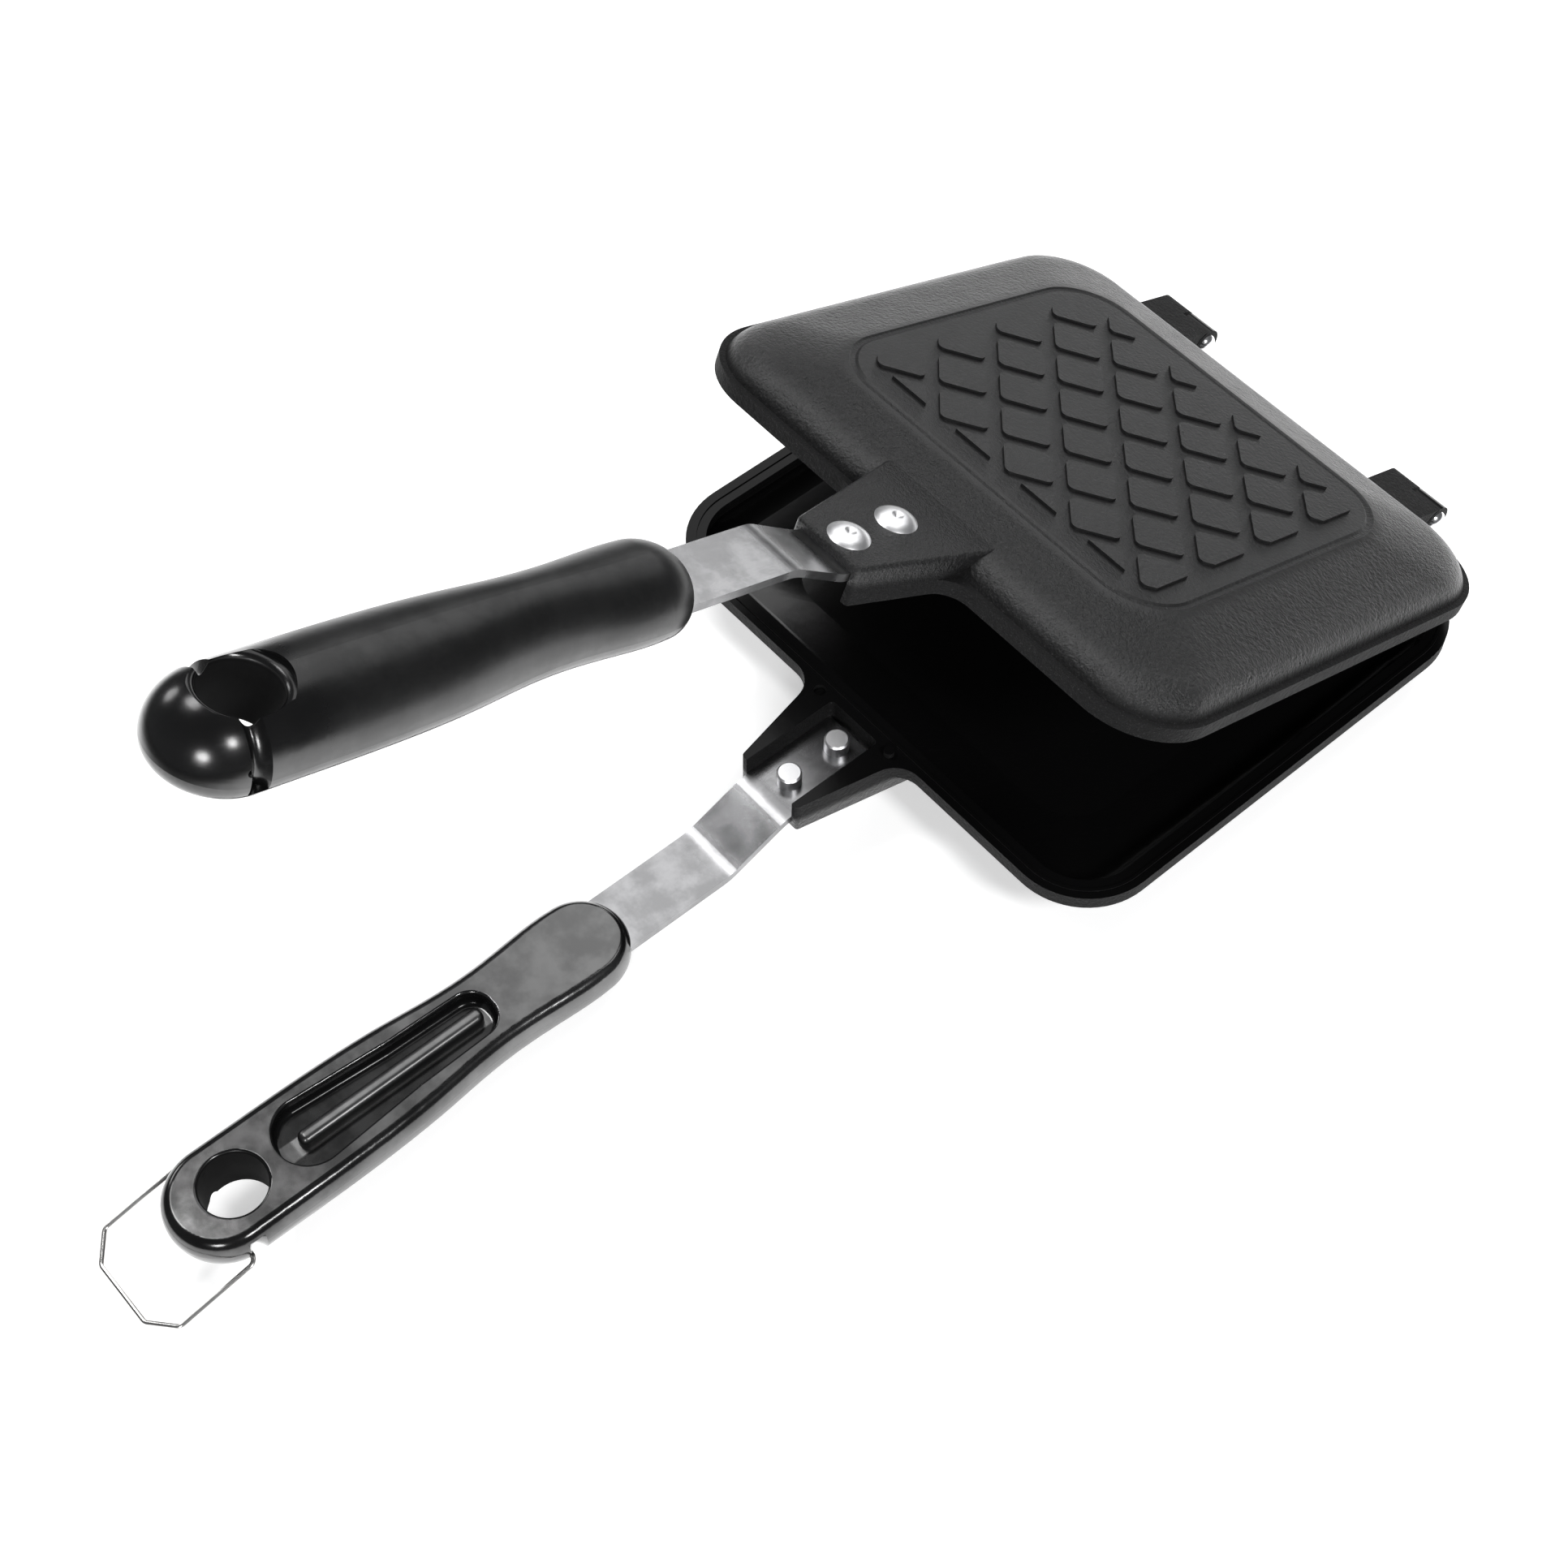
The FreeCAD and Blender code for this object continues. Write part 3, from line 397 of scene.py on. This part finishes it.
# %% How rough the coat is, and how much it mirrors
def coat_roughness(tree, w, outside, on_panel, sheen, flow):
    """Duller flange and panel outside, sprayed gloss inside."""
    on_wall = calc(tree, "MULTIPLY_ADD", sheen, 0.12, 0.27)
    over_panel = calc(tree, "MULTIPLY_ADD", on_panel, 0.10, on_wall)
    rough_outside = calc(tree, "ADD", over_panel, ramp(tree, w, *DULL_EDGE, 0.35, 0.0))
    rough_inside = calc(tree, "MULTIPLY_ADD", flow, 0.10, 0.14)
    return mix(tree, outside, rough_inside, rough_outside)


def coat_mirror(tree, w, on_panel):
    """The rubbed shoulder mirrors most, the flange least."""
    shoulder = ramp(tree, w, *SHOULDER_EDGE, 0.12, 0.46)
    slope = ramp(tree, w, *SLOPE_EDGE, 0.0, 0.20)
    return calc(tree, "MULTIPLY_ADD", on_panel, 0.09, calc(tree, "SUBTRACT", shoulder, slope))


print("coat shine ready")


# %% The coat's colour and its pebbles
def coat_colour(tree, outside, depth, flow, grit):
    """Black inside, slightly uneven outside, with grey specks painted on the pebbles' tops as glints."""
    coat = shade(tree, flow, COAT_DARK, COAT_LIGHT)
    both_sides = shade(tree, outside, INSIDE_BLACK, coat)
    # grey specks painted on the pebbles' tops: painted glints of the coat, strongest on the wall
    tops = ramp(tree, grit, 0.58, 0.72)
    painted_glints = calc(tree, "MULTIPLY", tops, calc(tree, "MULTIPLY", depth, 0.35))
    return shade(tree, painted_glints, both_sides, GLINT_SPECK_GREY)


def coat_relief(tree, place, outside, depth, grit, sheen):
    """Pebbles, grit over them, and a slow wave over all."""
    pebbles = noise(tree, place, 1.0, 3.0, 0.6)
    pebbled = bump(tree, pebbles, 0.0005, calc(tree, "MULTIPLY", depth, 0.8))
    gritty = bump(tree, grit, 0.00026, calc(tree, "MULTIPLY", depth, 0.7), under=pebbled)
    wave_share = calc(tree, "MULTIPLY_ADD", outside, -0.05, 0.08)
    return bump(tree, sheen, 0.0006, wave_share, under=gritty)


print("coat colour and relief ready")


# %% Non-stick coat
def cast_coat(half):
    """Finish of one pan."""
    material, tree, shader = blank_material("cast_coat_" + half)
    place = half_place(tree, half)
    w = split_place(tree, place)[2]
    outside = ramp(tree, outward_share(tree, half), -0.25, -0.02)
    on_panel = ramp(tree, w, *PANEL_EDGE)
    panel_loss = calc(tree, "MULTIPLY", on_panel, 0.62)
    depth = calc(tree, "MULTIPLY", calc(tree, "SUBTRACT", 1.0, panel_loss), outside)
    grit = noise(tree, place, 2.6, 2.0, 0.6)
    flow = noise(tree, place, 0.045, 3.0, 0.6)
    sheen = noise(tree, place, 0.16, 2.0, 0.5)
    for socket, value in {
        "Base Color": coat_colour(tree, outside, depth, flow, grit),
        "Roughness": coat_roughness(tree, w, outside, on_panel, sheen, flow),
        "Specular IOR Level": coat_mirror(tree, w, on_panel),
        "Normal": coat_relief(tree, place, outside, depth, grit, sheen),
    }.items():
        tree.links.new(value, shader.inputs[socket])
    shader.inputs["IOR"].default_value = 1.5
    return material


for half in HALF_TURN:
    finish([half + "_pan"], cast_coat(half))

# %% [markdown]
# ## Steel straps
#
# The straps are cut from brushed stainless sheet and bent cold. The brushing runs along the
# strap, so the noise is drawn out a hundred times longer along v than across. Handling leaves
# cloudy patches, which change how bright the metal is, and the metal is rougher at both bends,
# where it was stretched. A picture of brushed metal could be laid on, but noise needs no picture
# and shows no seam.


# %% Brushed steel
BRUSHED_LINES = (6.0, 0.06, 6.0)
FINE_LINES = (22.0, 0.25, 22.0)
BEND_PLACES = (171.9, 188.2)
STEEL_DARK = grey(0.18, 0.003)
STEEL_LIGHT = grey(0.26, 0.005)


def brushed_steel(half):
    """Finish of one strap."""
    material, tree, shader = blank_material("brushed_steel_" + half)
    lines = noise(tree, half_place(tree, half, BRUSHED_LINES), 1.0, 3.0, 0.65)
    fine = noise(tree, half_place(tree, half, FINE_LINES), 1.0, 2.0, 0.6)
    place = half_place(tree, half)
    clouds = noise(tree, place, 0.11, 4.0, 0.6)
    colour = shade(tree, ramp(tree, clouds, 0.36, 0.64), STEEL_DARK, STEEL_LIGHT)
    rough = calc(tree, "MULTIPLY_ADD", clouds, 0.03, 0.15)
    rough = calc(tree, "MULTIPLY_ADD", lines, 0.10, rough)
    v = split_place(tree, place)[1]
    for bend in BEND_PLACES:
        off_bend = calc(tree, "ABSOLUTE", calc(tree, "SUBTRACT", v, bend))
        rough = calc(tree, "ADD", rough, ramp(tree, off_bend, 1.5, 4.5, 0.09, 0.0))
    relief = bump(tree, fine, 0.00002, 0.08, under=bump(tree, lines, 0.00004, 0.20))
    tree.links.new(colour, shader.inputs["Base Color"])
    tree.links.new(rough, shader.inputs["Roughness"])
    tree.links.new(relief, shader.inputs["Normal"])
    shader.inputs["Metallic"].default_value = 1.0
    return material


for half in HALF_TURN:
    finish([half + "_strap"], brushed_steel(half))

# %% [markdown]
# ## Rivets, hinge pins and the wire loop
#
# Small turned and drawn parts are brighter than the straps. One recipe serves all of them: a
# metal with faint scuffs drawn out along v, and tiny dents from handling. Only the tone and the
# lowest roughness differ, so the rivets look satin, the pins polished and the wire drawn.


# %% Bright metal
def bright_metal(name, half, tone, rough_low):
    """Polished metal with faint marks."""
    material, tree, shader = blank_material(name)
    dents = noise(tree, half_place(tree, half), 1.1, 3.0, 0.6)
    scuffs = noise(tree, half_place(tree, half, (3.0, 0.8, 3.0)), 2.0, 3.0, 0.6)
    colour = shade(tree, scuffs, (*[0.86 * t for t in tone], 1), (*tone, 1))
    rough = calc(tree, "MULTIPLY_ADD", scuffs, 0.16, rough_low)
    tree.links.new(colour, shader.inputs["Base Color"])
    tree.links.new(rough, shader.inputs["Roughness"])
    tree.links.new(bump(tree, dents, 0.00003, 0.25), shader.inputs["Normal"])
    shader.inputs["Metallic"].default_value = 1.0
    return material


for half in HALF_TURN:
    turned = bright_metal("turned_rivet_" + half, half, (0.84, 0.84, 0.85), 0.28)
    finish([half + "_rivet_front", half + "_rivet_rear"], turned)
polished = bright_metal("polished_pin", "lower", (0.78, 0.78, 0.79), 0.12)
finish(["hinge_pin_left", "hinge_pin_right"], polished)
finish(["latch_wire"], bright_metal("drawn_wire", "lower", (0.62, 0.61, 0.60), 0.16))

# %% [markdown]
# ## Moulded grips
#
# The grips are phenolic resin, pressed in a polished mould: deep black with a hard gloss. The
# mould's skin isn't quite flat, which makes reflections swim a little. Hands have dulled the back
# between the ends, and leave smudges on the face. The finger recess gets little light and mirrors
# little, only its rib is rubbed brighter. The core that made the hanging hole was left rough, so
# the hole is dull. The masks for these places could be painted, but their places in u, v and w
# are known from the model, so a few bands mark them, and they stay right if the grip is turned
# over.

# %% Places on the grip, in millimetres
GRIP_FACE = (215, 300)
ROUND_END = (296, 310)
RECESS_DEPTH = ((10.9, 12.2), (14.5, 15.5))
RECESS_END = (304.6, 306.6)
RECESS_HALF_WIDTH = (8.2, 8.8)
RIB_HALF_WIDTH = 2.0
RIB_LENGTH = ((251.0, 252.0), (299.0, 300.0))
RIB_TOP = (13.9, 14.4)
HOLE_PLACE = 314.6
HOLE_RADIUS = (7.35, 7.6)
RESIN_DARK = grey(0.003, 0.0001)
RESIN_LIGHT = grey(0.006, 0.0002)
print("hole at v =", HOLE_PLACE, "mm, rib from", RIB_LENGTH[0][0], "to", RIB_LENGTH[1][1], "mm")


# %% Shares of the recess, its rib and the hole
def recess_share(tree, u, v, w):
    """1 in the finger recess beside its rib."""
    off_middle = calc(tree, "ABSOLUTE", u)
    sunk = band(tree, w, *RECESS_DEPTH)
    along = ramp(tree, v, *RECESS_END, 1.0, 0.0)
    across = band(tree, off_middle, (RIB_HALF_WIDTH, RIB_HALF_WIDTH + 0.5), RECESS_HALF_WIDTH)
    return calc(tree, "MULTIPLY", calc(tree, "MULTIPLY", sunk, along), across)


def rib_share(tree, u, v, w):
    """1 on the rib in the finger recess."""
    off_middle = calc(tree, "ABSOLUTE", u)
    across = ramp(tree, off_middle, RIB_HALF_WIDTH, RIB_HALF_WIDTH + 0.4, 1.0, 0.0)
    along = band(tree, v, *RIB_LENGTH)
    sunk = ramp(tree, w, *RIB_TOP, 1.0, 0.0)
    return calc(tree, "MULTIPLY", across, calc(tree, "MULTIPLY", along, sunk))


def hole_share(tree, u, v):
    """1 on the wall of the hanging hole."""
    past_hole = calc(tree, "SUBTRACT", v, HOLE_PLACE)
    squares = calc(tree, "ADD", calc(tree, "POWER", u, 2.0), calc(tree, "POWER", past_hole, 2.0))
    return ramp(tree, calc(tree, "SQRT", squares), *HOLE_RADIUS, 1.0, 0.0)


print("grip shares ready")


# %% How much the resin mirrors
def resin_mirror(tree, place, v, facing, on_back, in_recess, on_rib, in_hole):
    """Most at the strap's end of the face and on the flanks, least in the hollows."""
    on_face = calc(tree, "SUBTRACT", 1.0, on_back)
    level = calc(
        tree, "ADD",
        calc(tree, "MULTIPLY", ramp(tree, v, *GRIP_FACE, 0.98, 0.42), on_face),
        calc(tree, "MULTIPLY", on_back, 0.30),
    )
    flanks = band(tree, facing, (-0.75, -0.35), (0.35, 0.80))
    level = calc(tree, "MULTIPLY_ADD", flanks, 0.40, level)
    patches = ramp(tree, noise(tree, place, 0.10, 4.0, 0.62), 0.36, 0.66)
    smudges = calc(tree, "SUBTRACT", patches, 0.5)
    smudge_share = calc(tree, "MULTIPLY_ADD", on_back, -0.24, 0.34)
    level = calc(tree, "MULTIPLY_ADD", smudges, smudge_share, level)
    level = calc(tree, "MULTIPLY", level, calc(tree, "MULTIPLY_ADD", in_recess, -0.72, 1.0))
    level = calc(tree, "MULTIPLY_ADD", on_rib, 0.5, level)
    return calc(tree, "MULTIPLY", level, calc(tree, "MULTIPLY_ADD", in_hole, -0.9, 1.0))


print("resin shine ready")


# %% Gloss resin
def gloss_resin(half):
    """Finish of one grip."""
    material, tree, shader = blank_material("grip_resin_" + half)
    place = half_place(tree, half)
    u, v, w = split_place(tree, place)
    facing = outward_share(tree, half)
    on_back = ramp(tree, facing, -0.3, 0.3)
    in_recess = recess_share(tree, u, v, w)
    on_rib = rib_share(tree, u, v, w)
    in_hole = hole_share(tree, u, v)
    mirror = resin_mirror(tree, place, v, facing, on_back, in_recess, on_rib, in_hole)

    rubbed = noise(tree, half_place(tree, half, (1.0, 0.12, 1.0)), 1.4, 4.0, 0.65)
    handled = calc(tree, "MULTIPLY", ramp(tree, v, *ROUND_END, 0.20, 0.04), on_back)
    rough = calc(tree, "ADD", calc(tree, "MULTIPLY_ADD", rubbed, 0.08, 0.13), handled)
    rough = calc(tree, "MULTIPLY_ADD", in_hole, 0.6, rough)
    rough = calc(tree, "MULTIPLY_ADD", on_rib, 0.14, rough)

    swim = noise(tree, place, 0.09, 2.0, 0.5)
    skin = noise(tree, place, 1.8, 2.0, 0.5)
    relief = bump(tree, skin, 0.00002, 0.08, under=bump(tree, swim, 0.0009, 0.12))
    tree.links.new(shade(tree, swim, RESIN_DARK, RESIN_LIGHT), shader.inputs["Base Color"])
    tree.links.new(rough, shader.inputs["Roughness"])
    tree.links.new(mirror, shader.inputs["Specular IOR Level"])
    tree.links.new(relief, shader.inputs["Normal"])
    shader.inputs["IOR"].default_value = 1.54
    return material


for half in HALF_TURN:
    finish([half + "_grip"], gloss_resin(half))
